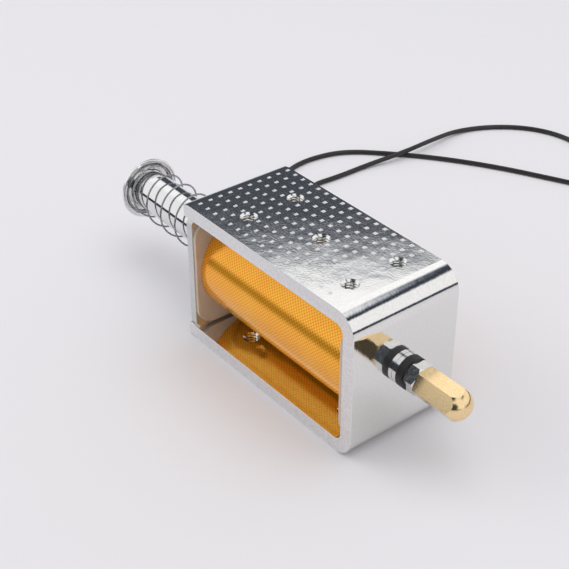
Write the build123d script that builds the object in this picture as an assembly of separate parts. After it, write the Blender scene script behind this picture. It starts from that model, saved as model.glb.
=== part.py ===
from build123d import *
import os
from math import cos, pi, radians, sin, sqrt, tan

os.makedirs("parts", exist_ok=True)

# Driving dimensions, in millimetres
# The origin is the middle of the bottom screw holes, on the bottom face. X runs along the plunger.
frame_length = 64.0
plate = 3.7
bend_outside = 6.0
front_reach = 30.0
edge_roll_length = 2.5
edge_roll_depth = 0.5

hole_row = 37.2
hole_gap = 14.3
tap_drill = 3.3
tap_mouth = 4.4
core_hole = 7.0

end_inset = 1.0
end_thickness = 2.2
end_corner = 1.2
end_bore = 12.0

# Clearances
flange_inset = 0.2
coil_gap = 1.95
seat_clearance = 0.02
running_clearance = 0.05
flange_clearance = 0.75
cup_clearance = 0.1
rod_clearance = 0.3

# Coil
tube_wall = 0.4
tube_lip_radius = 6.4
tube_lip_thickness = 0.4
bobbin_wall = 0.8
flange_thickness = 1.0
flange_rim = 1.4
flange_corner = 5.0
slope_start = 0.3
tape_radius = 14.1
tape_thickness = 1.5
pad_rise = 0.9
pad_start = 1.8
pad_length = 14.0
pad_height = 9.6
pad_blend = 1.0
sleeve_radius = 0.95
sleeve_length = 7.0
pad_cover = 0.15
lead_pitch = 6.0
first_lead = 4.0

# Core and rod
core_length = 19.25
seat_clear_radius = 0.15
rod_radius = 2.0
bush_radius = 2.7
bush_length = 8.0
shim_thickness = 0.3
shim_radius = 2.9

# Plunger
plunger_radius = 5.5
plunger_tail = 44.3
nose_length = 4.7
nose_shoulder = 0.6
nose_radius = 3.2
tail_chamfer = 0.5
stroke = 10.0
end_gap = 0.05
rod_socket = 10.0

# Spring, its cup and the ring that holds the cup
cup_radius = 8.7
cup_floor_radius = 7.7
cup_depth = 0.7
cup_sheet = 0.6
cup_notch = 1.2
cup_notch_angle = 20.0
spring_length = 43.0
spring_radius = 7.0
spring_start_angle = 48.0
wire_radius = 0.25
spring_turns = 6.1
closed_turns = 1.0
points_per_turn = 10
ring_thickness = 0.9
ring_radius = 7.0
groove_depth = 0.7
ring_gap = 2.4
ring_lug_radius = 1.3
ring_lug_hole = 0.6

# Stack on the front end of the rod
stop_gap = 0.05
washer_radius = 4.1
washer_thickness = 0.55
rubber_thickness = 2.1
nut_flats = 7.0
nut_thickness = 3.2
nut_angle = 50.0
cap_angle = 5.2
cap_hex_length = 10.3
cap_dome = 3.7
cap_length = 13.8
cap_bore_depth = 9.5
nut_chamfer = 0.4

# Leads
lead_radius = 0.75
lead_over = 5.25
bend_share = 0.45
tip_radius = 0.4
tip_length = 5.0

# Places that follow from the sizes
flange_half_width = tape_radius + flange_rim
frame_width = 2 * (flange_half_width + flange_inset)
frame_height = 2 * (tape_radius + coil_gap + plate)
winding_radius = tape_radius - tape_thickness
pad_face = tape_radius + pad_rise
lead_offset = pad_face - pad_cover - sleeve_radius
front_x = front_reach
rear_x = front_x - frame_length
inner_front = front_x - plate
plate_back = rear_x + end_inset
inner_rear = plate_back + end_thickness
top_z = frame_height
axis_z = frame_height / 2
bore_radius = plunger_radius + running_clearance
tube_radius = bore_radius + tube_wall
hub_radius = tube_radius + seat_clearance
winding_start = inner_rear + flange_thickness
winding_end = inner_front - flange_thickness
cup_front = plate_back - spring_length
cup_back = cup_front - cup_sheet
ring_back = cup_back - ring_thickness
plunger_back = rear_x - plunger_tail
seat_base = inner_front - core_length
nose_base = seat_base - stroke - end_gap
nose_tip = nose_base + nose_length
nose_base_radius = plunger_radius - nose_shoulder
shim_back = nose_tip + stroke + end_gap
seat_floor = shim_back + shim_thickness


def across(x):
    """The plane square to the plunger's axis at x, with its own x along +Y and its y along +Z."""
    return Plane(origin=(x, 0, axis_z), x_dir=(0, 1, 0), z_dir=(1, 0, 0))


def rod(start, end, radius, bore=0.0):
    """A round bar or tube on the plunger's axis."""
    section = Circle(radius)
    if bore > 0:
        section -= Circle(bore)
    return extrude(across(start) * section, amount=end - start)


def turned(*points):
    """A solid turned about the plunger's axis from an outline of (x, radius) points."""
    outline = make_face(Polyline(*points, close=True))
    side = Plane(origin=(0, 0, axis_z), x_dir=(1, 0, 0), z_dir=(0, -1, 0))
    return revolve(side * outline, axis=Axis((0, 0, axis_z), (1, 0, 0)))


def save(name, *solids):
    shape = solids[0] if len(solids) == 1 else Compound(children=list(solids))
    export_step(shape, f"parts/{name}.step")


def frame_bracket():
    """One steel strip folded to a U that opens to the rear, with five tapped holes in each leg."""
    arc_x = front_x - bend_outside
    inner_bend = bend_outside - plate
    inner_x = inner_front - inner_bend
    roll_x = rear_x + edge_roll_length
    with BuildSketch(Plane.XZ) as profile:
        with BuildLine():
            Line((rear_x, 0), (arc_x, 0))
            RadiusArc((arc_x, 0), (front_x, bend_outside), -bend_outside)
            Line((front_x, bend_outside), (front_x, top_z - bend_outside))
            RadiusArc((front_x, top_z - bend_outside), (arc_x, top_z), -bend_outside)
            Line((arc_x, top_z), (roll_x, top_z))
            TangentArc((roll_x, top_z), (rear_x, top_z - edge_roll_depth), tangent=(-1, 0))
            Line((rear_x, top_z - edge_roll_depth), (rear_x, top_z - plate))
            Line((rear_x, top_z - plate), (inner_x, top_z - plate))
            RadiusArc((inner_x, top_z - plate), (inner_front, top_z - plate - inner_bend), inner_bend)
            Line((inner_front, top_z - plate - inner_bend), (inner_front, plate + inner_bend))
            RadiusArc((inner_front, plate + inner_bend), (inner_x, plate), inner_bend)
            Line((inner_x, plate), (rear_x, plate))
            Line((rear_x, plate), (rear_x, 0))
        make_face()
    strip = extrude(profile.sketch, amount=frame_width / 2, both=True)
    corners = [(sx * hole_row / 2, sy * hole_gap / 2) for sx in (-1, 1) for sy in (-1, 1)]
    mouth = (tap_mouth - tap_drill) / 2
    for x, y in [(0, 0)] + corners:
        for upper_z in (plate, top_z):
            strip -= Pos(x, y, upper_z - plate / 2) * Cylinder(tap_drill / 2, plate)
            strip -= Pos(x, y, upper_z - mouth / 2) * Cone(tap_drill / 2, tap_mouth / 2, mouth)
    strip -= rod(inner_front, front_x, core_hole / 2)
    return strip


def end_plate():
    """The steel plate staked between the legs at the rear, bored for the guide tube."""
    outline = Rectangle(frame_width, frame_height - 2 * plate)
    outline = chamfer(outline.vertices(), end_corner)
    outline -= Circle(end_bore / 2)
    return extrude(across(plate_back) * outline, amount=end_thickness)


def guide_tube():
    """Thin brass tube that the plunger slides in, with its rear end flared over the end plate."""
    lip_back = plate_back - tube_lip_thickness
    return turned(
        (lip_back, bore_radius),
        (lip_back, tube_lip_radius),
        (plate_back, tube_lip_radius),
        (plate_back, tube_radius),
        (inner_front, tube_radius),
        (inner_front, bore_radius),
    )


def bobbin():
    """Nylon former: a hub between two square flanges with round corners."""
    hub_outer = hub_radius + bobbin_wall
    half_height = axis_z - plate - flange_clearance
    flange = RectangleRounded(2 * flange_half_width, 2 * half_height, flange_corner)
    solid = rod(inner_rear, inner_front, hub_outer)
    solid += extrude(across(inner_rear) * flange, amount=flange_thickness)
    front_flange = extrude(across(winding_end) * flange, amount=flange_thickness)
    slope_depth = bend_outside - plate - flange_clearance
    for side in (-1, 1):
        edge_z = side * half_height
        slope = make_face(
            Polyline(
                (winding_end, edge_z - side * slope_start),
                (inner_front, edge_z - side * slope_depth),
                (inner_front, 2 * edge_z),
                (winding_end, 2 * edge_z),
                close=True,
            )
        )
        side_plane = Plane(origin=(0, 0, axis_z), x_dir=(1, 0, 0), z_dir=(0, -1, 0))
        front_flange -= extrude(side_plane * slope, amount=frame_width, both=True)
    solid += front_flange
    return solid - rod(inner_rear, inner_front, hub_radius)


def coil_winding():
    """The enamelled copper wire, as the ring of copper that it packs into."""
    return rod(winding_start, winding_end, winding_radius, hub_radius + bobbin_wall + seat_clearance)


def lead_stations():
    """The places along X of the two leads where they leave the tape."""
    first = winding_start + first_lead
    return (first, first + lead_pitch)


def coil_tape():
    """Insulating tape wound over the copper, with a flat pad on the +Y side over the two splices."""
    inner = winding_radius + seat_clearance
    solid = rod(winding_start, winding_end, tape_radius)
    pad_x = winding_start + pad_start + pad_length / 2
    pad = Box(pad_length, pad_face, pad_height)
    pad = fillet(pad.edges().filter_by(Axis.X).group_by(Axis.Y)[-1], pad_blend)
    solid += Pos(pad_x, pad_face / 2, axis_z) * pad
    solid -= rod(winding_start, winding_end, inner)
    for x in lead_stations():
        solid -= Pos(x, lead_offset, axis_z) * Cylinder(sleeve_radius + seat_clearance, sleeve_length)
        exit_height = axis_z - sleeve_length / 2
        solid -= Pos(x, lead_offset, exit_height / 2) * Cylinder(lead_radius + seat_clearance, exit_height)
    return solid


def splice_sleeves():
    """Two insulating sleeves under the pad, each over the joint of a lead and the copper wire."""
    return [Pos(x, lead_offset, axis_z) * Cylinder(sleeve_radius, sleeve_length) for x in lead_stations()]


def pole_core():
    """The fixed steel core: a conical seat for the plunger's nose and a spigot riveted in the front."""
    bore = rod_radius + rod_clearance
    spigot = core_hole / 2 - seat_clearance
    socket = bush_radius + seat_clearance
    outer = bore_radius - seat_clearance
    floor_radius = nose_radius + seat_clear_radius
    bush_back = front_x - bush_length
    return turned(
        (seat_base, nose_base_radius + seat_clear_radius),
        (seat_base, outer),
        (inner_front, outer),
        (inner_front, spigot),
        (front_x, spigot),
        (front_x, socket),
        (bush_back, socket),
        (bush_back, bore),
        (seat_floor, bore),
        (seat_floor, floor_radius),
    )


def rod_bush():
    """Plain bush in the spigot that guides the push rod."""
    return rod(front_x - bush_length, front_x, bush_radius, rod_radius + running_clearance)


def residual_shim():
    """Thin brass washer on the seat's floor, so that the plunger lets go when the current stops."""
    return rod(shim_back, seat_floor, shim_radius, rod_radius + rod_clearance)


def plunger():
    """Polished steel bar with a conical nose, a ring groove near its tail and a socket for the rod."""
    groove = plunger_radius - groove_depth
    socket = rod_radius + seat_clearance
    return turned(
        (plunger_back, 0),
        (plunger_back, plunger_radius - tail_chamfer),
        (plunger_back + tail_chamfer, plunger_radius),
        (ring_back, plunger_radius),
        (ring_back, groove),
        (cup_back, groove),
        (cup_back, plunger_radius),
        (nose_base, plunger_radius),
        (nose_base, nose_base_radius),
        (nose_tip, nose_radius),
        (nose_tip, socket),
        (nose_tip - rod_socket, socket),
        (nose_tip - rod_socket, 0),
    )


def spring_cup():
    """Dished steel washer that slips over the plunger's tail and holds the spring."""
    hole = plunger_radius + cup_clearance
    rim_front = cup_front + cup_depth
    cup = turned(
        (cup_back, hole),
        (cup_back, cup_floor_radius),
        (rim_front - cup_sheet, cup_floor_radius + cup_sheet),
        (rim_front - cup_sheet, cup_radius),
        (rim_front, cup_radius),
        (rim_front, cup_floor_radius + cup_sheet / 2),
        (cup_front, cup_floor_radius - cup_sheet / 2),
        (cup_front, hole),
    )
    notch = Pos(0, 0, cup_radius) * Box(4 * cup_depth, cup_notch, cup_notch)
    return cup - Pos(cup_front, 0, axis_z) * Rot(cup_notch_angle, 0, 0) * notch


def retaining_ring():
    """Open spring-steel ring in the plunger's groove, with two lugs for pliers."""
    groove = plunger_radius - groove_depth + seat_clearance
    section = Circle(ring_radius)
    lug_turn = (ring_gap / 2 + ring_lug_radius) / ring_radius
    for side in (-1, 1):
        lug_x = ring_radius * sin(side * lug_turn)
        lug_y = -ring_radius * cos(lug_turn)
        section += Pos(lug_x, lug_y) * Circle(ring_lug_radius)
    section -= Circle(groove)
    section -= Pos(0, -ring_radius) * Rectangle(ring_gap, 2 * ring_radius)
    for side in (-1, 1):
        lug_x = ring_radius * sin(side * lug_turn)
        section -= Pos(lug_x, -ring_radius * cos(lug_turn)) * Circle(ring_lug_hole)
    ring_front = cup_back - seat_clearance
    ring_rear = ring_back + seat_clearance
    return extrude(across(ring_rear) * section, amount=ring_front - ring_rear)


def return_spring():
    """Round-wire compression spring with a closed turn at each end, from the cup to the end plate."""
    start = cup_front + wire_radius
    end = plate_back - wire_radius
    closed_rise = 2 * wire_radius
    active_rise = end - start - 2 * closed_rise
    total = spring_turns + 2 * closed_turns
    points = []
    for step in range(round(total * points_per_turn) + 1):
        turn = step / points_per_turn
        active = min(max(turn - closed_turns, 0), spring_turns)
        rise = closed_rise * min(turn, closed_turns) / closed_turns
        rise += active_rise * active / spring_turns
        rise += closed_rise * max(turn - closed_turns - spring_turns, 0) / closed_turns
        angle = radians(spring_start_angle) + 2 * pi * turn
        points.append((start + rise, spring_radius * cos(angle), axis_z + spring_radius * sin(angle)))
    path = Spline(*points)
    section = Plane(path @ 0, z_dir=path % 0) * Circle(wire_radius)
    return sweep(section, path=path)


def push_rod():
    """Steel rod that carries the plunger's push out of the front, threaded where the nuts go."""
    cap_start = front_x + stop_gap + 2 * washer_thickness + rubber_thickness + nut_thickness
    return rod(nose_tip - rod_socket, cap_start + cap_bore_depth, rod_radius)


def rod_washers():
    """Two thin steel washers that stop against the front plate."""
    bore = rod_radius + rod_clearance / 2
    first = front_x + stop_gap
    second = first + washer_thickness
    return [
        rod(first, second - seat_clearance, washer_radius, bore),
        rod(second, second + washer_thickness, washer_radius, bore),
    ]


def rubber_washer():
    """Rubber washer that softens the stop."""
    start = front_x + stop_gap + 2 * washer_thickness
    return rod(start, start + rubber_thickness, washer_radius, rod_radius + seat_clearance)


def hexagon(start, end, turn):
    """A hexagonal bar on the plunger's axis, its first corner turned up from +Y."""
    section = RegularPolygon(nut_flats / sqrt(3), 6, rotation=turn)
    return extrude(across(start) * section, amount=end - start)


def hex_nut():
    """Plain nut with both faces chamfered."""
    start = front_x + stop_gap + 2 * washer_thickness + rubber_thickness
    end = start + nut_thickness
    corner = nut_flats / sqrt(3)
    flat = nut_flats / 2
    bore = rod_radius + seat_clearance
    blank = turned(
        (start, bore),
        (start, flat),
        (start + nut_chamfer, corner),
        (end - nut_chamfer, corner),
        (end, flat),
        (end, bore),
    )
    return hexagon(start, end, nut_angle) & blank


def acorn_nut():
    """Brass cap nut: a long hexagon that ends in a dome, with a blind bore."""
    start = front_x + stop_gap + 2 * washer_thickness + rubber_thickness + nut_thickness
    start += seat_clearance
    corner = nut_flats / sqrt(3)
    flat = nut_flats / 2
    dome_centre = start + cap_length - cap_dome
    shoulder = start + cap_hex_length
    blank = turned(
        (start, 0),
        (start, flat - nut_chamfer / 2),
        (start + nut_chamfer, corner),
        (shoulder - nut_chamfer, corner),
        (shoulder + nut_chamfer, cap_dome),
        (start + cap_length, cap_dome),
        (start + cap_length, 0),
    )
    ball = Pos(dome_centre, 0, axis_z) * Sphere(cap_dome)
    ball += rod(start, dome_centre, corner)
    cap = hexagon(start, start + cap_length, cap_angle) & blank & ball
    return cap - rod(start, start + cap_bore_depth + seat_clearance, rod_radius + seat_clearance)


# Routes of the leads: the points of each, from the splice to the stripped end
lead_a_x, lead_b_x = lead_stations()
lead_start = axis_z - sleeve_length / 2
route_a = [
    (lead_a_x, lead_offset, lead_start),
    (lead_a_x, lead_offset, 11.0),
    (-28.5, 18.5, 5.2),
    (-34.0, 24.0, 1.6),
    (-44.5, 30.5, lead_radius),
    (-58.0, 37.0, lead_radius),
    (-73.0, 45.0, lead_radius),
    (-83.0, 52.0, lead_radius),
    (-87.4, 60.3, lead_radius),
    (-88.4, 69.6, lead_radius),
    (-85.6, 81.2, lead_radius),
    (-75.2, 91.7, lead_radius),
    (-62.4, 102.5, lead_radius),
    (-45.8, 113.1, lead_radius),
    (-25.5, 122.8, lead_radius),
    (-7.5, 131.5, lead_radius),
]
route_b = [
    (lead_b_x, lead_offset, lead_start),
    (lead_b_x, lead_offset, 11.0),
    (-22.5, 18.5, 5.2),
    (-27.5, 24.5, 1.6),
    (-38.0, 32.0, lead_radius),
    (-53.0, 39.5, lead_radius),
    (-67.5, 47.5, lead_radius),
    (-74.6, 57.5, lead_radius),
    (-73.5, 69.0, lead_radius),
    (-73.6, 80.5, lead_radius),
    (-67.0, 91.0, lead_over),
    (-67.6, 104.0, lead_over),
    (-73.0, 121.5, lead_radius),
    (-66.5, 134.5, lead_radius),
    (-56.4, 143.3, lead_radius),
    (-44.0, 146.2, lead_radius),
    (-31.0, 144.2, lead_radius),
]


def lead_path(points):
    """Straight runs joined by the largest arcs that each pair of runs has room for."""
    knots = [Vector(*point) for point in points]
    radii = []
    for before, here, after in zip(knots, knots[1:], knots[2:]):
        turn = (here - before).get_angle(after - here)
        shorter = min((here - before).length, (after - here).length)
        radii.append(bend_share * shorter / tan(radians(turn / 2)))
    return FilletPolyline(*points, radius=radii), radii


def lead_wire(name, points):
    path, radii = lead_path(points)
    wire = sweep(Plane(path @ 0, z_dir=path % 0) * Circle(lead_radius), path=path)
    expected = pi * lead_radius ** 2 * path.length
    print(name, "length", round(path.length, 1), "volume ratio", round(wire.volume / expected, 4))
    print(name, "radii", [round(radius, 1) for radius in radii])
    return wire


def lead_tip(points):
    """The stripped and tinned end of a lead."""
    last = Vector(*points[-1])
    along = (last - Vector(*points[-2])).normalized()
    return extrude(Plane(last, z_dir=along) * Circle(tip_radius), amount=tip_length)


save("frame_bracket", frame_bracket())
save("end_plate", end_plate())
save("guide_tube", guide_tube())
save("bobbin", bobbin())
save("coil_winding", coil_winding())
save("coil_tape", coil_tape())
save("splice_sleeves", *splice_sleeves())
save("pole_core", pole_core())
save("rod_bush", rod_bush())
save("residual_shim", residual_shim())
save("plunger", plunger())
save("spring_cup", spring_cup())
save("retaining_ring", retaining_ring())
save("return_spring", return_spring())
save("push_rod", push_rod())
save("rod_washers", *rod_washers())
save("rubber_washer", rubber_washer())
save("hex_nut", hex_nut())
save("acorn_nut", acorn_nut())
save("lead_wire_a", lead_wire("lead_wire_a", route_a))
save("lead_wire_b", lead_wire("lead_wire_b", route_b))
save("lead_tip_a", lead_tip(route_a))
save("lead_tip_b", lead_tip(route_b))
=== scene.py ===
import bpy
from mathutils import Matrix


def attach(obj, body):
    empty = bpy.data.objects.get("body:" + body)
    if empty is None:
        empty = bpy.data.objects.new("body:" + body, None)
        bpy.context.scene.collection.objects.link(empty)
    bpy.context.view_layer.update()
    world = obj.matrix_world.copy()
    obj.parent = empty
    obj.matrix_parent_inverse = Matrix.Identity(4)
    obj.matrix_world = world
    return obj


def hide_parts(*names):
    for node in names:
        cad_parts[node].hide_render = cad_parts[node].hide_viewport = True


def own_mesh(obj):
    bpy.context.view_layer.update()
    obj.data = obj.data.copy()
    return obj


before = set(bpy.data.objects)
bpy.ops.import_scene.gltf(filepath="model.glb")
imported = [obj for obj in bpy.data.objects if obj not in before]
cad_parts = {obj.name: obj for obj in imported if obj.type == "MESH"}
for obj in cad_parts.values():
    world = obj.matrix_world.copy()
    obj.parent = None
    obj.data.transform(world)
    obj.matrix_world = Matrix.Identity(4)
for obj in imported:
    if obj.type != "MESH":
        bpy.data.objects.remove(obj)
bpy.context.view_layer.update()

# Camera at the photograph's angle. It stands at the front right of the solenoid and looks down
# on it.
import bpy
import bmesh
from math import atan2, cos, pi, radians, sin, sqrt
from mathutils import Matrix, Vector

MM = 0.001
camera_place = Vector((187.885, -158.218, 191.216)) * MM
camera_aim = Vector((-14.116, 0.087, 19.2)) * MM
camera_roll = radians(-0.24)
camera_lens = 78.29
camera_sensor = 36.0
camera_near = 10.0

camera_data = bpy.data.cameras.new("camera")
camera_data.lens = camera_lens
camera_data.sensor_width = camera_sensor
camera_data.clip_start = camera_near * MM
camera = bpy.data.objects.new("camera", camera_data)
bpy.context.collection.objects.link(camera)
sight = (camera_aim - camera_place).to_track_quat("-Z", "Y").to_matrix()
camera.matrix_world = (
    Matrix.Translation(camera_place) @ (sight @ Matrix.Rotation(camera_roll, 3, "Z")).to_4x4()
)
bpy.context.scene.camera = camera


# Leads. Two black hook-up wires of 1.5 mm leave the tape on the far side, drop to the floor and
# lie there in one loose bend each. Lead B passes over lead A. Their ends are stripped and tinned.
lead_diameter = 1.5
lead_rest = lead_diameter / 2
lead_over = 2.6
lead_bend_top = 11.0
lead_bend_middle = 5.2
lead_bend_foot = 1.6
lead_offset = 13.9
lead_start = 16.25
lead_a_x = -25.8
lead_b_x = -19.8
lead_a_length = 201.5
lead_b_length = 198.9
lead_a_points = [
    (lead_a_x, lead_offset, lead_start),
    (lead_a_x, lead_offset, lead_bend_top),
    (-28.5, 18.5, lead_bend_middle),
    (-34.0, 24.0, lead_bend_foot),
    (-44.5, 30.5, lead_rest),
    (-58.0, 37.0, lead_rest),
    (-73.0, 45.0, lead_rest),
    (-83.0, 52.0, lead_rest),
    (-87.4, 60.3, lead_rest),
    (-88.4, 69.6, lead_rest),
    (-85.6, 81.2, lead_rest),
    (-75.2, 91.7, lead_rest),
    (-62.4, 102.5, lead_rest),
    (-45.8, 113.1, lead_rest),
    (-25.5, 122.8, lead_rest),
    (-7.5, 131.5, lead_rest),
]
lead_b_points = [
    (lead_b_x, lead_offset, lead_start),
    (lead_b_x, lead_offset, lead_bend_top),
    (-22.5, 18.5, lead_bend_middle),
    (-27.5, 24.5, lead_bend_foot),
    (-38.0, 32.0, lead_rest),
    (-53.0, 39.5, lead_rest),
    (-67.5, 47.5, lead_rest),
    (-74.6, 57.5, lead_rest),
    (-73.5, 69.0, lead_rest),
    (-73.6, 80.5, lead_rest),
    (-70.2, 94.0, lead_over),
    (-70.8, 107.0, lead_over),
    (-73.0, 121.5, lead_rest),
    (-66.5, 134.5, lead_rest),
    (-56.4, 143.3, lead_rest),
    (-44.0, 146.2, lead_rest),
    (-31.0, 144.2, lead_rest),
]


def lay_lead(name, points):
    """One lead as a smooth round curve along its points."""
    line = bpy.data.curves.new(name, "CURVE")
    line.dimensions = "3D"
    spline = line.splines.new("NURBS")
    spline.points.add(len(points) - 1)
    for knot, point in zip(spline.points, points):
        knot.co = (*(Vector(point) * MM), 1.0)
    spline.order_u = 3
    spline.use_endpoint_u = True
    spline.resolution_u = 12
    line.bevel_depth = lead_diameter / 2 * MM
    line.bevel_resolution = 5
    line.use_fill_caps = True
    lead = bpy.data.objects.new(name, line)
    bpy.context.collection.objects.link(lead)
    return lead


lead_a = lay_lead("lead_a", lead_a_points)
lead_b = lay_lead("lead_b", lead_b_points)


def grainy_finish(name, dark, light, smooth, rough, scale, detail, depth=0.0):
    """A plastic or rubber: fine noise shades its colour, its roughness and a soft bump."""
    plastic = bpy.data.materials.new(name)
    plastic.use_nodes = True
    tree = plastic.node_tree
    shader = tree.nodes["Principled BSDF"]
    place = tree.nodes.new("ShaderNodeTexCoord")
    grain = tree.nodes.new("ShaderNodeTexNoise")
    grain.inputs["Scale"].default_value = scale
    grain.inputs["Detail"].default_value = detail
    tone = tree.nodes.new("ShaderNodeValToRGB")
    tone.color_ramp.elements[0].color = (*dark, 1)
    tone.color_ramp.elements[1].color = (*light, 1)
    gloss = tree.nodes.new("ShaderNodeMapRange")
    gloss.inputs["To Min"].default_value = smooth
    gloss.inputs["To Max"].default_value = rough
    tree.links.new(place.outputs["Object"], grain.inputs["Vector"])
    tree.links.new(grain.outputs["Fac"], tone.inputs["Fac"])
    tree.links.new(tone.outputs["Color"], shader.inputs["Base Color"])
    tree.links.new(grain.outputs["Fac"], gloss.inputs["Value"])
    tree.links.new(gloss.outputs["Result"], shader.inputs["Roughness"])
    if depth:
        relief = tree.nodes.new("ShaderNodeBump")
        relief.inputs["Distance"].default_value = depth * MM
        tree.links.new(grain.outputs["Fac"], relief.inputs["Height"])
        tree.links.new(relief.outputs["Normal"], shader.inputs["Normal"])
    return plastic


cover_black = grainy_finish(
    "lead_cover_black",
    dark=(0.006, 0.006, 0.007),
    light=(0.018, 0.017, 0.019),
    smooth=0.24,
    rough=0.38,
    scale=900.0,
    detail=3.0,
)

for lead, node, tip, points, length in (
    (lead_a, "lead_wire_a", "lead_tip_a", lead_a_points, lead_a_length),
    (lead_b, "lead_wire_b", "lead_tip_b", lead_b_points, lead_b_length),
):
    lead.data.materials.append(cover_black)
    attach(lead, "frame")
    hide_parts(node)


# Frame bracket. One strip of steel, folded to a U and nickel plated bright. The flattening press
# has left a grid of small square dents in both legs, and five holes in each leg are tapped M4.
strip_top = 39.5
strip_edge_round = 0.35
hole_row = 37.2
hole_gap = 14.3
leg_thickness = 3.7
tap_radius = 1.65
thread_radius = 2.0
thread_pitch = 0.7
thread_facets = 28
thread_ridge = 0.62
thread_overlap = 0.05
weld_distance = 0.001
cad_weld_distance = 0.002
cad_flat_angle = radians(0.5)
dent_pitch_x = 3.09
dent_pitch_y = 3.02
dent_first = (-31.0, -12.75)
dent_columns = 17
dent_rows = 10
dent_width = 1.05
dent_floor = 0.82
dent_depth = 0.1
dent_clear_of_hole = 2.9
dent_tool_above = 0.1
screw_holes = [(0.0, 0.0)] + [
    (sx * hole_row / 2, sy * hole_gap / 2) for sx in (-1, 1) for sy in (-1, 1)
]


def pick(*objects):
    """Deselects everything, then selects these objects, the last one active."""
    bpy.ops.object.select_all(action="DESELECT")
    for item in objects:
        item.select_set(True)
    bpy.context.view_layer.objects.active = objects[-1]


def copy_of_node(node, name):
    """A copy of a CAD node as one closed mesh, its loose triangles merged to flat faces."""
    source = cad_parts[node]
    piece = bpy.data.objects.new(name, source.data.copy())
    bpy.context.collection.objects.link(piece)
    piece.data.materials.clear()
    pick(piece)
    bpy.ops.object.mode_set(mode="EDIT")
    bpy.ops.mesh.select_all(action="SELECT")
    bpy.ops.mesh.remove_doubles(threshold=cad_weld_distance * MM)
    bpy.ops.mesh.dissolve_limited(angle_limit=cad_flat_angle)
    bpy.ops.object.mode_set(mode="OBJECT")
    return piece


def apply_modifier(piece, kind, **settings):
    """Adds one modifier to a piece and applies it."""
    modifier = piece.modifiers.new(kind.lower(), kind)
    for name, value in settings.items():
        setattr(modifier, name, value)
    pick(piece)
    bpy.ops.object.modifier_apply(modifier=modifier.name)


def settle(piece):
    """Moves a piece's place into its mesh, so that the object sits at the origin."""
    pick(piece)
    bpy.ops.object.transform_apply(location=True, rotation=True, scale=True)


def cut_away(piece, cutter):
    """Cuts one piece out of another and removes the cutter."""
    apply_modifier(piece, "BOOLEAN", operation="DIFFERENCE", solver="EXACT", object=cutter)
    bpy.data.objects.remove(cutter)


bracket = copy_of_node("frame_bracket", "bracket")
apply_modifier(
    bracket,
    "BEVEL",
    width=strip_edge_round * MM,
    segments=3,
    limit_method="ANGLE",
    angle_limit=radians(60),
)


def slice_across(piece, point, normal):
    """Cuts a line of edges around a piece, so that the cells between the lines stay small faces."""
    pick(piece)
    bpy.ops.object.mode_set(mode="EDIT")
    bpy.ops.mesh.select_all(action="SELECT")
    bpy.ops.mesh.bisect(plane_co=Vector(point) * MM, plane_no=normal)
    bpy.ops.object.mode_set(mode="OBJECT")


for column in range(dent_columns + 1):
    slice_across(bracket, (dent_first[0] + (column - 0.5) * dent_pitch_x, 0, 0), (1, 0, 0))
for row in range(1, dent_rows):
    slice_across(bracket, (0, dent_first[1] + (row - 0.5) * dent_pitch_y, 0), (0, 1, 0))

dents = []
for outer_z, turn in ((strip_top, 0.0), (0.0, pi)):
    for column in range(dent_columns):
        for row in range(dent_rows):
            x = dent_first[0] + column * dent_pitch_x
            y = dent_first[1] + row * dent_pitch_y
            to_holes = [sqrt((x - hx) ** 2 + (y - hy) ** 2) for hx, hy in screw_holes]
            if min(to_holes) >= dent_clear_of_hole:
                dents.append((x, y, outer_z, turn))

bpy.ops.object.select_all(action="DESELECT")
slope = (dent_width - dent_floor) / 2 / dent_depth
bpy.ops.mesh.primitive_cone_add(
    vertices=4,
    radius1=dent_floor / 2 * sqrt(2) * MM,
    radius2=(dent_width / 2 + dent_tool_above * slope) * sqrt(2) * MM,
    depth=(dent_depth + dent_tool_above) * MM,
    location=(0, 0, (dent_tool_above - dent_depth) / 2 * MM),
    rotation=(0, 0, pi / 4),
)
dent_tool = bpy.context.object
settle(dent_tool)
copies = []
for x, y, z, turn in dents:
    single = bpy.data.objects.new("dent", dent_tool.data.copy())
    bpy.context.collection.objects.link(single)
    single.matrix_world = (
        Matrix.Translation(Vector((x, y, z)) * MM) @ Matrix.Rotation(turn, 4, "X")
    )
    copies.append(single)
pick(*copies)
bpy.ops.object.join()
dent_cutter = bpy.context.object
settle(dent_cutter)
bpy.data.objects.remove(dent_tool)
cut_away(bracket, dent_cutter)

thread_turns = int(leg_thickness / thread_pitch) + 2
thread_root = tap_radius - thread_overlap
thread_low = -thread_turns * thread_pitch / 2
ridge_section = (
    (thread_root, thread_low),
    (thread_root, thread_low + thread_ridge),
    (thread_radius, thread_low + thread_ridge / 2),
)
for leg_middle in (strip_top - leg_thickness / 2, leg_thickness / 2):
    for x, y in screw_holes:
        bpy.ops.object.select_all(action="DESELECT")
        bpy.ops.mesh.primitive_circle_add(vertices=3, radius=MM, fill_type="NGON")
        ridge = bpy.context.object
        for vertex, (radius, height) in zip(ridge.data.vertices, ridge_section):
            vertex.co = Vector((radius, 0, height)) * MM
        apply_modifier(
            ridge,
            "SCREW",
            axis="Z",
            screw_offset=thread_pitch * MM,
            iterations=thread_turns,
            steps=thread_facets,
            render_steps=thread_facets,
            use_merge_vertices=False,
        )
        ridge.location = Vector((x, y, leg_middle)) * MM
        settle(ridge)
        bpy.ops.object.mode_set(mode="EDIT")
        bpy.ops.mesh.select_all(action="SELECT")
        bpy.ops.mesh.remove_doubles(threshold=weld_distance * MM)
        bpy.ops.mesh.normals_make_consistent(inside=False)
        bpy.ops.object.mode_set(mode="OBJECT")
        cut_away(bracket, ridge)


square_to_axis = 0.99999


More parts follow.
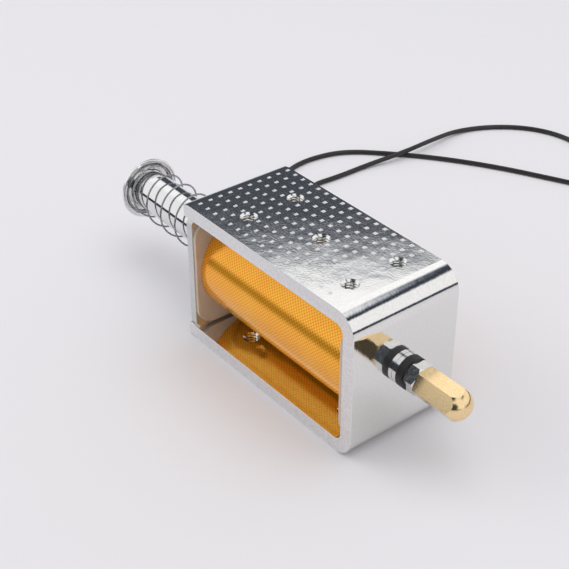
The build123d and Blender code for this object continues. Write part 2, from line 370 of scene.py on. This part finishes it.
def finish_edges(piece, angle):
    """Smooths a piece's curved faces, and keeps the faces that lie square to an axis flat."""
    pick(piece)
    bpy.ops.object.shade_smooth_by_angle(angle=radians(angle))
    bpy.ops.object.mode_set(mode="EDIT")
    bpy.ops.mesh.select_mode(type="FACE")
    bpy.ops.mesh.select_all(action="DESELECT")
    shell = bmesh.from_edit_mesh(piece.data)
    for face in shell.faces:
        face.select_set(max(abs(part) for part in face.normal) > square_to_axis)
    bmesh.update_edit_mesh(piece.data)
    bpy.ops.mesh.faces_shade_flat()
    bpy.ops.mesh.select_all(action="DESELECT")
    bpy.ops.object.mode_set(mode="OBJECT")


finish_edges(bracket, 9.0)
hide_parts("frame_bracket")
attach(bracket, "frame")


def drawn_marks_group():
    """Fine marks of drawing, rolling or turning: noise stretched along one axis, as a mask."""
    group = bpy.data.node_groups.new("drawn_marks", "ShaderNodeTree")
    for socket in ("Place", "Stretch"):
        group.interface.new_socket(socket, in_out="INPUT", socket_type="NodeSocketVector")
    for socket in ("Detail", "Contrast"):
        group.interface.new_socket(socket, in_out="INPUT", socket_type="NodeSocketFloat")
    group.interface.new_socket("Mark", in_out="OUTPUT", socket_type="NodeSocketFloat")
    entry = group.nodes.new("NodeGroupInput")
    leave = group.nodes.new("NodeGroupOutput")
    scaled = group.nodes.new("ShaderNodeVectorMath")
    scaled.operation = "MULTIPLY"
    streaks = group.nodes.new("ShaderNodeTexNoise")
    streaks.inputs["Scale"].default_value = 1.0
    centred = group.nodes.new("ShaderNodeMath")
    centred.operation = "SUBTRACT"
    centred.inputs[1].default_value = 0.5
    stronger = group.nodes.new("ShaderNodeMath")
    stronger.operation = "MULTIPLY_ADD"
    stronger.inputs[2].default_value = 0.5
    stronger.use_clamp = True
    group.links.new(entry.outputs["Place"], scaled.inputs[0])
    group.links.new(entry.outputs["Stretch"], scaled.inputs[1])
    group.links.new(scaled.outputs["Vector"], streaks.inputs["Vector"])
    group.links.new(entry.outputs["Detail"], streaks.inputs["Detail"])
    group.links.new(streaks.outputs["Fac"], centred.inputs[0])
    group.links.new(centred.outputs["Value"], stronger.inputs[0])
    group.links.new(entry.outputs["Contrast"], stronger.inputs[1])
    group.links.new(stronger.outputs["Value"], leave.inputs["Mark"])
    return group


drawn_marks = drawn_marks_group()


def metal_finish(name, dark, light, smooth, rough, stretch, depth, metallic=1.0, wave=0.0):
    """A bare or plated metal: drawn marks shade its colour, its roughness and a fine bump.

    A wave, where there is one, bends the mirror images on the metal a little.
    """
    metal = bpy.data.materials.new(name)
    metal.use_nodes = True
    tree = metal.node_tree
    shader = tree.nodes["Principled BSDF"]
    shader.inputs["Metallic"].default_value = metallic
    place = tree.nodes.new("ShaderNodeTexCoord")
    marks = tree.nodes.new("ShaderNodeGroup")
    marks.node_tree = drawn_marks
    marks.inputs["Stretch"].default_value = stretch
    marks.inputs["Detail"].default_value = 4.0
    marks.inputs["Contrast"].default_value = 2.0
    tone = tree.nodes.new("ShaderNodeValToRGB")
    tone.color_ramp.elements[0].color = (*dark, 1)
    tone.color_ramp.elements[1].color = (*light, 1)
    gloss = tree.nodes.new("ShaderNodeMapRange")
    gloss.inputs["To Min"].default_value = smooth
    gloss.inputs["To Max"].default_value = rough
    relief = tree.nodes.new("ShaderNodeBump")
    relief.inputs["Distance"].default_value = depth * MM
    tree.links.new(place.outputs["Object"], marks.inputs["Place"])
    tree.links.new(marks.outputs["Mark"], tone.inputs["Fac"])
    tree.links.new(tone.outputs["Color"], shader.inputs["Base Color"])
    tree.links.new(marks.outputs["Mark"], gloss.inputs["Value"])
    tree.links.new(gloss.outputs["Result"], shader.inputs["Roughness"])
    tree.links.new(marks.outputs["Mark"], relief.inputs["Height"])
    tree.links.new(relief.outputs["Normal"], shader.inputs["Normal"])
    if wave:
        swell = tree.nodes.new("ShaderNodeTexNoise")
        swell.inputs["Scale"].default_value = 110.0
        swell.inputs["Detail"].default_value = 2.0
        broad = tree.nodes.new("ShaderNodeBump")
        broad.inputs["Distance"].default_value = wave * MM
        tree.links.new(place.outputs["Object"], swell.inputs["Vector"])
        tree.links.new(swell.outputs["Fac"], broad.inputs["Height"])
        tree.links.new(broad.outputs["Normal"], relief.inputs["Normal"])
    return metal


def dress(node, material):
    """Gives a CAD node its finish."""
    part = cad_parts[node]
    part.data.materials.clear()
    part.data.materials.append(material)
    return part


bright_plate = metal_finish(
    "bright_plate",
    dark=(0.78, 0.77, 0.755),
    light=(0.88, 0.87, 0.855),
    smooth=0.04,
    rough=0.10,
    stretch=(1300.0, 2200.0, 2200.0),
    depth=0.004,
    wave=0.05,
)
struck_plate = metal_finish(
    "struck_plate",
    dark=(0.80, 0.81, 0.83),
    light=(0.92, 0.92, 0.93),
    smooth=0.42,
    rough=0.60,
    stretch=(3000.0, 3000.0, 3000.0),
    depth=0.004,
)
sheared_edge = metal_finish(
    "sheared_edge",
    dark=(0.74, 0.74, 0.75),
    light=(0.94, 0.94, 0.95),
    smooth=0.28,
    rough=0.48,
    stretch=(1700.0, 1700.0, 1700.0),
    depth=0.006,
)
strip_finishes = [bright_plate, struck_plate, sheared_edge]
for finish in strip_finishes:
    bracket.data.materials.append(finish)
near_dent = dent_width / 2 * MM
dent_bottom = (dent_depth * MM * 0.9, dent_depth * MM * 1.1)
strip_side = max(vertex.co.y for vertex in bracket.data.vertices)
side_reach = 0.99
side_facing = 0.95
for face in bracket.data.polygons:
    column = round((face.center.x / MM - dent_first[0]) / dent_pitch_x)
    row = round((face.center.y / MM - dent_first[1]) / dent_pitch_y)
    beside_x = abs(face.center.x - (dent_first[0] + column * dent_pitch_x) * MM) < near_dent
    beside_y = abs(face.center.y - (dent_first[1] + row * dent_pitch_y) * MM) < near_dent
    under = min(strip_top * MM - face.center.z, face.center.z)
    at_side = abs(face.center.y) > strip_side * side_reach and abs(face.normal.y) > side_facing
    if beside_x and beside_y and dent_bottom[0] < under < dent_bottom[1]:
        face.material_index = strip_finishes.index(struck_plate)
    elif at_side:
        face.material_index = strip_finishes.index(sheared_edge)


# End plate. A steel plate staked between the ends of the legs, duller than they are. The plunger's
# guide tube stands in its bore.
end_plate_finish = metal_finish(
    "end_plate_finish",
    dark=(0.58, 0.58, 0.58),
    light=(0.76, 0.76, 0.76),
    smooth=0.34,
    rough=0.46,
    stretch=(2200.0, 900.0, 2200.0),
    depth=0.002,
)
dress("end_plate", end_plate_finish)


# Guide tube. Thin drawn brass, flared over the end plate. The plunger slides in it.
tube_brass = metal_finish(
    "tube_brass",
    dark=(0.60, 0.42, 0.18),
    light=(0.78, 0.58, 0.28),
    smooth=0.18,
    rough=0.32,
    stretch=(400.0, 3000.0, 3000.0),
    depth=0.001,
)
dress("guide_tube", tube_brass)
dress("residual_shim", tube_brass)


# Bobbin. Moulded natural nylon, a little see-through at its edges, with the square flange that
# shows at the rear end of the coil. Its colour is the nylon's own tone set darker than its real
# cream: painted shade of the flange's face, which lies in the shade of the coil and the legs.
nylon = grainy_finish(
    "nylon_painted_shade",
    dark=(0.50, 0.39, 0.29),
    light=(0.64, 0.53, 0.42),
    smooth=0.35,
    rough=0.5,
    scale=260.0,
    detail=5.0,
    depth=0.01,
)
nylon_shader = nylon.node_tree.nodes["Principled BSDF"]
nylon_shader.inputs["Subsurface Weight"].default_value = 0.35
nylon_shader.inputs["Subsurface Scale"].default_value = 2.0 * MM
dress("bobbin", nylon)


# Coil. Enamelled copper wire under the tape, with an insulating sleeve over each splice. Neither
# shows from outside.
enamel = metal_finish(
    "enamelled_copper",
    dark=(0.25, 0.06, 0.02),
    light=(0.55, 0.20, 0.07),
    smooth=0.2,
    rough=0.3,
    stretch=(9000.0, 300.0, 300.0),
    depth=0.02,
    metallic=0.6,
)
dress("coil_winding", enamel)
dress("splice_sleeves", cover_black)


# Tape. Orange insulating film with a fine woven emboss, wound several times over the copper. Its
# last turn ends in a lap along the near side.
tape_radius = 14.1
tape_wrap_thickness = 0.12
tape_lap_angle = radians(209.0)
tape_wrap_end = radians(62.0)
tape_rear = -29.68
tape_front = 25.18
tape_facets = 160
axis_z = 19.75
weave_pitch = 1.0
weave_shade_share = 0.75

tape = bpy.data.materials.new("orange_tape")
tape.use_nodes = True
tree = tape.node_tree
shader = tree.nodes["Principled BSDF"]
shader.inputs["Metallic"].default_value = 0.5
shader.inputs["Coat Weight"].default_value = 0.12
shader.inputs["Coat Roughness"].default_value = 0.15
place = tree.nodes.new("ShaderNodeTexCoord")
parts = tree.nodes.new("ShaderNodeSeparateXYZ")
height = tree.nodes.new("ShaderNodeMath")
height.operation = "SUBTRACT"
height.inputs[1].default_value = axis_z * MM
around = tree.nodes.new("ShaderNodeMath")
around.operation = "ARCTAN2"
arc = tree.nodes.new("ShaderNodeMath")
arc.operation = "MULTIPLY"
arc.inputs[1].default_value = tape_radius * MM
tree.links.new(place.outputs["Object"], parts.inputs["Vector"])
tree.links.new(parts.outputs["Z"], height.inputs[0])
tree.links.new(height.outputs["Value"], around.inputs[0])
tree.links.new(parts.outputs["Y"], around.inputs[1])
tree.links.new(around.outputs["Value"], arc.inputs[0])


def wave_along(source):
    """A sine of the weave's pitch along one direction of the tape."""
    turns = tree.nodes.new("ShaderNodeMath")
    turns.operation = "MULTIPLY"
    turns.inputs[1].default_value = 2 * pi / (weave_pitch * MM)
    wave = tree.nodes.new("ShaderNodeMath")
    wave.operation = "SINE"
    tree.links.new(source, turns.inputs[0])
    tree.links.new(turns.outputs["Value"], wave.inputs[0])
    return wave.outputs["Value"]


weave = tree.nodes.new("ShaderNodeMath")
weave.operation = "MULTIPLY"
tree.links.new(wave_along(parts.outputs["X"]), weave.inputs[0])
tree.links.new(wave_along(arc.outputs["Value"]), weave.inputs[1])
cell = tree.nodes.new("ShaderNodeMapRange")
cell.inputs["From Min"].default_value = -1.0
cell.inputs["From Max"].default_value = 1.0
tree.links.new(weave.outputs["Value"], cell.inputs["Value"])
blotch = tree.nodes.new("ShaderNodeTexNoise")
blotch.inputs["Scale"].default_value = 120.0
blotch.inputs["Detail"].default_value = 3.0
tree.links.new(place.outputs["Object"], blotch.inputs["Vector"])
weave_shade_and_tone = tree.nodes.new("ShaderNodeMath")
weave_shade_and_tone.operation = "MULTIPLY_ADD"
weave_shade_and_tone.inputs[1].default_value = weave_shade_share
tree.links.new(cell.outputs["Result"], weave_shade_and_tone.inputs[0])
faint = tree.nodes.new("ShaderNodeMath")
faint.operation = "MULTIPLY"
faint.inputs[1].default_value = 1 - weave_shade_share
tree.links.new(blotch.outputs["Fac"], faint.inputs[0])
tree.links.new(faint.outputs["Value"], weave_shade_and_tone.inputs[2])
# The colour follows the weave's relief: its hollows are painted deeper orange and its crowns paler,
# a painted shade and highlight of the emboss. The blotch noise adds the tape's own uneven tone.
tone = tree.nodes.new("ShaderNodeValToRGB")
tone.color_ramp.elements[0].position = 0.3
tone.color_ramp.elements[0].color = (0.90, 0.27, 0.003, 1)
tone.color_ramp.elements[1].position = 0.7
tone.color_ramp.elements[1].color = (1.0, 0.57, 0.05, 1)
tree.links.new(weave_shade_and_tone.outputs["Value"], tone.inputs["Fac"])
tree.links.new(tone.outputs["Color"], shader.inputs["Base Color"])
gloss = tree.nodes.new("ShaderNodeMapRange")
gloss.inputs["To Min"].default_value = 0.09
gloss.inputs["To Max"].default_value = 0.16
tree.links.new(blotch.outputs["Fac"], gloss.inputs["Value"])
tree.links.new(gloss.outputs["Result"], shader.inputs["Roughness"])
relief = tree.nodes.new("ShaderNodeBump")
relief.inputs["Distance"].default_value = 0.016 * MM
tree.links.new(cell.outputs["Result"], relief.inputs["Height"])
tree.links.new(relief.outputs["Normal"], shader.inputs["Normal"])
dress("coil_tape", tape)

bpy.ops.object.select_all(action="DESELECT")
bpy.ops.mesh.primitive_cylinder_add(
    vertices=tape_facets,
    radius=(tape_radius + tape_wrap_thickness / 2) * MM,
    depth=(tape_front - tape_rear) * MM,
    end_fill_type="NOTHING",
    location=((tape_front + tape_rear) / 2 * MM, 0, axis_z * MM),
    rotation=(0, pi / 2, 0),
)
wrap = bpy.context.object
wrap.name = "tape_wrap"
settle(wrap)
bpy.ops.object.mode_set(mode="EDIT")
bpy.ops.mesh.select_all(action="DESELECT")
bpy.ops.mesh.select_mode(type="FACE")
wrap_mesh = bmesh.from_edit_mesh(wrap.data)
for face in wrap_mesh.faces:
    middle = face.calc_center_median()
    angle = atan2(middle.z - axis_z * MM, middle.y) % (2 * pi)
    face.select_set(not tape_wrap_end < angle < tape_lap_angle)
bmesh.update_edit_mesh(wrap.data)
bpy.ops.mesh.delete(type="FACE")
bpy.ops.mesh.select_all(action="SELECT")
bpy.ops.mesh.normals_make_consistent(inside=False)
bpy.ops.object.mode_set(mode="OBJECT")
apply_modifier(wrap, "SOLIDIFY", thickness=tape_wrap_thickness * MM, offset=0.0)
pick(wrap)
bpy.ops.object.shade_smooth_by_angle(angle=radians(30.0))
wrap.data.materials.append(tape)
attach(wrap, "frame")


# Pole core, its bush and the push rod. Turned steel that stands inside the front of the coil, with
# the rod that the plunger pushes out through it.
core_steel = metal_finish(
    "core_steel",
    dark=(0.45, 0.45, 0.46),
    light=(0.66, 0.66, 0.67),
    smooth=0.22,
    rough=0.38,
    stretch=(6000.0, 500.0, 500.0),
    depth=0.003,
)
dress("pole_core", core_steel)
dress("push_rod", core_steel)
# The bush takes a copy of the same nylon, its painted shade included.
bush_plastic = nylon.copy()
bush_plastic.name = "bush_plastic"
dress("rod_bush", bush_plastic)


# Plunger. A steel bar ground round and plated bright. It slides in the guide tube and carries the
# cup and its ring at the tail.
polished_steel = metal_finish(
    "polished_steel",
    dark=(0.72, 0.72, 0.73),
    light=(0.84, 0.84, 0.85),
    smooth=0.05,
    rough=0.11,
    stretch=(4200.0, 260.0, 260.0),
    depth=0.0006,
)
dress("plunger", polished_steel)


# Spring cup and retaining ring. The cup is a dished washer pressed from thin steel, plated bright.
# The ring sprung into the plunger's groove holds it against the spring.
cup_plate = metal_finish(
    "cup_plate",
    dark=(0.84, 0.84, 0.84),
    light=(0.93, 0.93, 0.93),
    smooth=0.15,
    rough=0.25,
    stretch=(500.0, 500.0, 500.0),
    depth=0.0002,
)
cup_front = -76.0
cup_hole = 5.6
cup_floor = 7.5
cup_rim = 8.7
cup_depth = 0.7
cup_sheet = 0.6
cup_wall = 0.3
cup_notch = 1.2
cup_notch_reach = 3.0
cup_notch_turn = radians(20.0)
cup_edge_round = 0.1
turned_steps = 144


def turned_piece(name, outline):
    """A piece turned about the plunger's axis from its half section, (x, radius) in mm."""
    bpy.ops.object.select_all(action="DESELECT")
    bpy.ops.mesh.primitive_circle_add(vertices=len(outline), radius=MM, fill_type="NOTHING")
    piece = bpy.context.object
    piece.name = name
    for vertex, (x, radius) in zip(piece.data.vertices, outline):
        vertex.co = Vector((x, radius, 0)) * MM
    apply_modifier(
        piece,
        "SCREW",
        axis="X",
        steps=turned_steps,
        render_steps=turned_steps,
        use_merge_vertices=False,
    )
    piece.location = (0, 0, axis_z * MM)
    settle(piece)
    bpy.ops.object.mode_set(mode="EDIT")
    bpy.ops.mesh.select_all(action="SELECT")
    bpy.ops.mesh.remove_doubles(threshold=weld_distance * MM)
    bpy.ops.mesh.delete_loose(use_verts=True, use_edges=True, use_faces=False)
    bpy.ops.mesh.select_all(action="SELECT")
    bpy.ops.mesh.normals_make_consistent(inside=False)
    bpy.ops.object.mode_set(mode="OBJECT")
    return piece


rim_front = cup_front + cup_depth
cup = turned_piece(
    "cup",
    [
        (cup_front - cup_sheet, cup_hole),
        (cup_front - cup_sheet, cup_floor),
        (rim_front - cup_sheet, cup_floor + cup_wall),
        (rim_front - cup_sheet, cup_rim),
        (rim_front, cup_rim),
        (rim_front, cup_floor + cup_wall / 2),
        (cup_front, cup_floor - cup_wall / 2),
        (cup_front, cup_hole),
    ],
)
apply_modifier(
    cup,
    "BEVEL",
    width=cup_edge_round * MM,
    segments=3,
    limit_method="ANGLE",
    angle_limit=radians(25.0),
)
bpy.ops.object.select_all(action="DESELECT")
bpy.ops.mesh.primitive_cube_add(size=cup_notch * MM, location=(0, 0, cup_rim * MM))
notch_tool = bpy.context.object
notch_tool.scale.x = cup_notch_reach
settle(notch_tool)
notch_swing = Matrix.Rotation(cup_notch_turn, 4, "X")
notch_tool.matrix_world = Matrix.Translation(Vector((cup_front, 0, axis_z)) * MM) @ notch_swing
cut_away(cup, notch_tool)
pick(cup)
bpy.ops.object.shade_smooth_by_angle(angle=radians(32.0))
cup.data.materials.append(cup_plate)
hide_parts("spring_cup")
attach(cup, "cup")
spring_wire = metal_finish(
    "spring_wire",
    dark=(0.28, 0.28, 0.29),
    light=(0.46, 0.46, 0.47),
    smooth=0.20,
    rough=0.34,
    stretch=(1500.0, 1500.0, 1500.0),
    depth=0.002,
)
dress("retaining_ring", spring_wire)


# Return spring. Round steel wire coiled to the right, with a closed turn at each end. It stands
# between the cup and the end plate and pushes the plunger back out.
spring_start = -76.0
spring_end = -33.0
spring_radius = 7.0
spring_wire_radius = 0.25
spring_turns = 6.1
spring_closed = 1.0
spring_start_angle = radians(48.0)
spring_points = 30

coil_line = bpy.data.curves.new("spring", "CURVE")
coil_line.dimensions = "3D"
coil_spline = coil_line.splines.new("POLY")
closed_rise = 2 * spring_wire_radius
active_rise = spring_end - spring_start - 2 * spring_wire_radius - 2 * closed_rise
coil_steps = round((spring_turns + 2 * spring_closed) * spring_points)
coil_spline.points.add(coil_steps)
for step, knot in enumerate(coil_spline.points):
    turn = step / spring_points
    active = min(max(turn - spring_closed, 0.0), spring_turns)
    rise = closed_rise * min(turn, spring_closed) / spring_closed
    rise += active_rise * active / spring_turns
    rise += closed_rise * max(turn - spring_closed - spring_turns, 0.0) / spring_closed
    angle = spring_start_angle + 2 * pi * turn
    knot.co = (
        (spring_start + spring_wire_radius + rise) * MM,
        spring_radius * cos(angle) * MM,
        (axis_z + spring_radius * sin(angle)) * MM,
        1.0,
    )
coil_line.bevel_depth = spring_wire_radius * MM
coil_line.bevel_resolution = 4
coil_line.use_fill_caps = True
spring = bpy.data.objects.new("spring", coil_line)
bpy.context.collection.objects.link(spring)
pick(spring)
bpy.ops.object.convert(target="MESH")
spring = bpy.context.object
bpy.ops.object.shade_smooth_by_angle(angle=radians(60.0))
spring.data.materials.clear()
spring.data.materials.append(spring_wire)
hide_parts("return_spring")
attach(spring, "frame")
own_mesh(spring)


# Front stack. Two thin steel washers, a rubber washer and a plain nut on the rod stop the plunger's
# return, and a long brass cap nut makes the push tip.
washer_steel = metal_finish(
    "washer_steel",
    dark=(0.72, 0.72, 0.72),
    light=(0.88, 0.88, 0.88),
    smooth=0.08,
    rough=0.18,
    stretch=(5000.0, 500.0, 500.0),
    depth=0.001,
)
dress("rod_washers", washer_steel)

rubber = grainy_finish(
    "black_rubber",
    dark=(0.008, 0.008, 0.008),
    light=(0.022, 0.022, 0.022),
    smooth=0.38,
    rough=0.6,
    scale=1800.0,
    detail=4.0,
    depth=0.01,
)
dress("rubber_washer", rubber)

nut_plate = metal_finish(
    "nut_plate",
    dark=(0.72, 0.72, 0.71),
    light=(0.86, 0.86, 0.85),
    smooth=0.08,
    rough=0.18,
    stretch=(1200.0, 1200.0, 1200.0),
    depth=0.0003,
)
dress("hex_nut", nut_plate)

cap_brass = metal_finish(
    "cap_brass",
    dark=(0.84, 0.58, 0.27),
    light=(1.0, 0.80, 0.50),
    smooth=0.13,
    rough=0.24,
    stretch=(2600.0, 2600.0, 2600.0),
    depth=0.0013,
)
cap_start = 36.37
cap_length = 13.8
cap_flats = 7.0
cap_turn = radians(5.2)
cap_chamfer = 0.4
cap_bore = 2.02
cap_bore_depth = 9.52
cap_bore_overshoot = 1.0
cap_seat_margin = 0.01
cap_tip_margin = 0.2
dome_length = 4.6
dome_radius = 4.2
dome_steps = 24

dome_middle = cap_start + cap_length - dome_length
cap_seat = cap_start - cap_seat_margin
cap_outline = [(cap_seat, 0), (cap_seat, cap_flats / 2), (cap_start + cap_chamfer, dome_radius)]
for step in range(dome_steps + 1):
    angle = pi / 2 * step / dome_steps
    cap_outline.append((dome_middle + dome_length * sin(angle), dome_radius * cos(angle)))
cap_blank = turned_piece("cap_blank", cap_outline)
bpy.ops.object.select_all(action="DESELECT")
bpy.ops.mesh.primitive_cylinder_add(
    vertices=6,
    radius=cap_flats / sqrt(3) * MM,
    depth=(cap_length + cap_tip_margin) * MM,
    location=((cap_start + (cap_length + cap_tip_margin) / 2) * MM, 0, axis_z * MM),
    rotation=(0, pi / 2, 0),
)
cap = bpy.context.object
cap.name = "cap"
settle(cap)
swing = Matrix.Translation((0, 0, axis_z * MM)) @ Matrix.Rotation(cap_turn, 4, "X")
cap.matrix_world = swing @ Matrix.Translation((0, 0, -axis_z * MM))
settle(cap)
apply_modifier(cap, "BOOLEAN", operation="INTERSECT", solver="EXACT", object=cap_blank)
bpy.data.objects.remove(cap_blank)
bore = turned_piece(
    "cap_bore",
    [
        (cap_start - cap_bore_overshoot, 0),
        (cap_start - cap_bore_overshoot, cap_bore),
        (cap_start + cap_bore_depth, cap_bore),
        (cap_start + cap_bore_depth, 0),
    ],
)
cut_away(cap, bore)
pick(cap)
bpy.ops.object.shade_smooth_by_angle(angle=radians(14.0))
cap.data.materials.append(cap_brass)
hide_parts("acorn_nut")
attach(cap, "plunger")


# Lead ends. The copper strands of each lead, stripped bare and tinned.
tinned = metal_finish(
    "tinned_copper",
    dark=(0.50, 0.49, 0.47),
    light=(0.74, 0.73, 0.71),
    smooth=0.25,
    rough=0.42,
    stretch=(1500.0, 1500.0, 1500.0),
    depth=0.01,
)
dress("lead_tip_a", tinned)
dress("lead_tip_b", tinned)


# Stage. A pale floor, two soft lamps and a plain white studio. Bright metal also mirrors dark
# parts that nothing else sees: the back wall, strips on two other walls and the camera's place.
# The floor beyond 90 mm towards the camera is painted near-black for mirror images only: a painted
# dark reflection that stands for the near edge of the floor.
floor_half = 4.0
floor_shade = (0.78, 0.77, 0.79, 1)
floor_painted_reflection_shade = (0.03, 0.03, 0.03, 1)
painted_reflection_way = (0, -1, 0)
painted_reflection_start = 0.09
painted_reflection_full = 0.11
bpy.ops.object.select_all(action="DESELECT")
bpy.ops.mesh.primitive_plane_add(size=2 * floor_half, location=(0, 0, 0))
floor = bpy.context.object
floor.name = "floor"
floor_pale = bpy.data.materials.new("floor_pale")
floor_pale.use_nodes = True
tree = floor_pale.node_tree
shader = tree.nodes["Principled BSDF"]
shader.inputs["Base Color"].default_value = floor_shade
shader.inputs["Roughness"].default_value = 0.9
shader.inputs["Specular IOR Level"].default_value = 0.1
# Painted dark reflection: glossy rays see this near-black shade on the floor beyond the line.
painted_dark_reflection = tree.nodes.new("ShaderNodeBsdfDiffuse")
painted_dark_reflection.inputs["Color"].default_value = floor_painted_reflection_shade
spot = tree.nodes.new("ShaderNodeTexCoord")
reach = tree.nodes.new("ShaderNodeVectorMath")
reach.operation = "DOT_PRODUCT"
reach.inputs[1].default_value = painted_reflection_way
beyond = tree.nodes.new("ShaderNodeMapRange")
beyond.inputs["From Min"].default_value = painted_reflection_start
beyond.inputs["From Max"].default_value = painted_reflection_full
mirrored = tree.nodes.new("ShaderNodeLightPath")
dark_there = tree.nodes.new("ShaderNodeMath")
dark_there.operation = "MULTIPLY"
floor_choice = tree.nodes.new("ShaderNodeMixShader")
tree.links.new(spot.outputs["Object"], reach.inputs[0])
tree.links.new(reach.outputs["Value"], beyond.inputs["Value"])
tree.links.new(beyond.outputs["Result"], dark_there.inputs[0])
tree.links.new(mirrored.outputs["Is Glossy Ray"], dark_there.inputs[1])
tree.links.new(dark_there.outputs["Value"], floor_choice.inputs["Fac"])
tree.links.new(shader.outputs["BSDF"], floor_choice.inputs[1])
tree.links.new(painted_dark_reflection.outputs["BSDF"], floor_choice.inputs[2])
tree.links.new(floor_choice.outputs["Shader"], tree.nodes["Material Output"].inputs["Surface"])
floor.data.materials.append(floor_pale)

ambient_level = 0.67
ambient_shade = (0.98, 0.975, 1.0, 1)
mirror_dark = (0.80, 0.92, 1.15, 1)
mirror_light = (1, 1, 1, 1)
back_wall = ((0.0, 0.5), (0.06, 0.08), (0.53, 0.08), (0.552, 1.15))
side_wall = (
    (0.0, 0.06),
    (0.11, 0.06),
    (0.16, 1.0),
    (0.71, 1.0),
    (0.75, 0.05),
    (0.80, 0.05),
    (0.84, 1.0),
)
near_wall = ((0.0, 0.04), (0.005, 0.04), (0.03, 1.0), (0.5, 1.0))
studio_zones = ((140, (32, 60), back_wall), (60, (35, 55), side_wall), (226, (25, 50), near_wall))
studio_shades = (((0.61, -0.74, 0.22), (14, 24)), ((0.0, -0.50, 0.86), (15, 28)))
shade_level = 0.05
lamp_aim = (0, 0, 0.02)

studio = bpy.data.worlds.new("studio")
bpy.context.scene.world = studio
studio.use_nodes = True
tree = studio.node_tree
air = tree.nodes["Background"]
air.inputs["Color"].default_value = ambient_shade
air.inputs["Strength"].default_value = ambient_level
direction = tree.nodes.new("ShaderNodeTexCoord")
split = tree.nodes.new("ShaderNodeSeparateXYZ")
level = tree.nodes.new("ShaderNodeVectorMath")
level.operation = "MULTIPLY"
level.inputs[1].default_value = (1, 1, 0)
heading = tree.nodes.new("ShaderNodeVectorMath")
heading.operation = "NORMALIZE"
tree.links.new(direction.outputs["Generated"], split.inputs["Vector"])
tree.links.new(direction.outputs["Generated"], level.inputs[0])
tree.links.new(level.outputs["Vector"], heading.inputs[0])


def near_mask(source, centre, degrees):
    """1 within the first angle of a direction, fading to 0 at the second."""
    closeness = tree.nodes.new("ShaderNodeVectorMath")
    closeness.operation = "DOT_PRODUCT"
    closeness.inputs[1].default_value = centre
    mask = tree.nodes.new("ShaderNodeMapRange")
    mask.interpolation_type = "SMOOTHSTEP"
    mask.inputs["From Min"].default_value = cos(radians(degrees[1]))
    mask.inputs["From Max"].default_value = cos(radians(degrees[0]))
    tree.links.new(source, closeness.inputs[0])
    tree.links.new(closeness.outputs["Value"], mask.inputs["Value"])
    return mask.outputs["Result"]


def laid_over(mask, under, over):
    """One shade of the studio laid over another where the mask is 1."""
    blend = tree.nodes.new("ShaderNodeMix")
    tree.links.new(mask, blend.inputs["Factor"])
    for name, value in (("A", under), ("B", over)):
        if isinstance(value, float):
            blend.inputs[name].default_value = value
        else:
            tree.links.new(value, blend.inputs[name])
    return blend.outputs["Result"]


shade = 1.0
for azimuth, degrees, stops in studio_zones:
    ramp = tree.nodes.new("ShaderNodeValToRGB")
    knots = ramp.color_ramp.elements
    while len(knots) < len(stops):
        knots.new(0.5)
    for knot, (height, value) in zip(knots, stops):
        knot.position = height
        knot.color = (value, value, value, 1)
    tree.links.new(split.outputs["Z"], ramp.inputs["Fac"])
    centre = (cos(radians(azimuth)), sin(radians(azimuth)), 0)
    wall = near_mask(heading.outputs["Vector"], centre, degrees)
    shade = laid_over(wall, shade, ramp.outputs["Color"])
for centre, degrees in studio_shades:
    spot = near_mask(direction.outputs["Generated"], Vector(centre).normalized(), degrees)
    shade = laid_over(spot, shade, shade_level)
tint = tree.nodes.new("ShaderNodeMix")
tint.data_type = "RGBA"
tint.inputs["A"].default_value = mirror_dark
tint.inputs["B"].default_value = mirror_light
seen = tree.nodes.new("ShaderNodeBackground")
tree.links.new(shade, tint.inputs["Factor"])
tree.links.new(tint.outputs["Result"], seen.inputs["Color"])
tree.links.new(shade, seen.inputs["Strength"])
ray = tree.nodes.new("ShaderNodeLightPath")
choice = tree.nodes.new("ShaderNodeMixShader")
tree.links.new(ray.outputs["Is Glossy Ray"], choice.inputs["Fac"])
tree.links.new(air.outputs["Background"], choice.inputs[1])
tree.links.new(seen.outputs["Background"], choice.inputs[2])
tree.links.new(choice.outputs["Shader"], tree.nodes["World Output"].inputs["Surface"])

for name, place, size, power in (
    ("lamp_over", (0.10, 0.15, 0.90), 0.9, 3.2),
    ("lamp_left", (-0.70, -0.55, 0.60), 0.7, 2.2),
):
    lamp_data = bpy.data.lights.new(name, "AREA")
    lamp_data.energy = power
    lamp_data.size = size
    lamp = bpy.data.objects.new(name, lamp_data)
    lamp.location = place
    lamp.rotation_euler = (Vector(lamp_aim) - Vector(place)).to_track_quat("-Z", "Y").to_euler()
    lamp.visible_glossy = False
    bpy.context.collection.objects.link(lamp)

bpy.context.scene.view_settings.view_transform = "Standard"
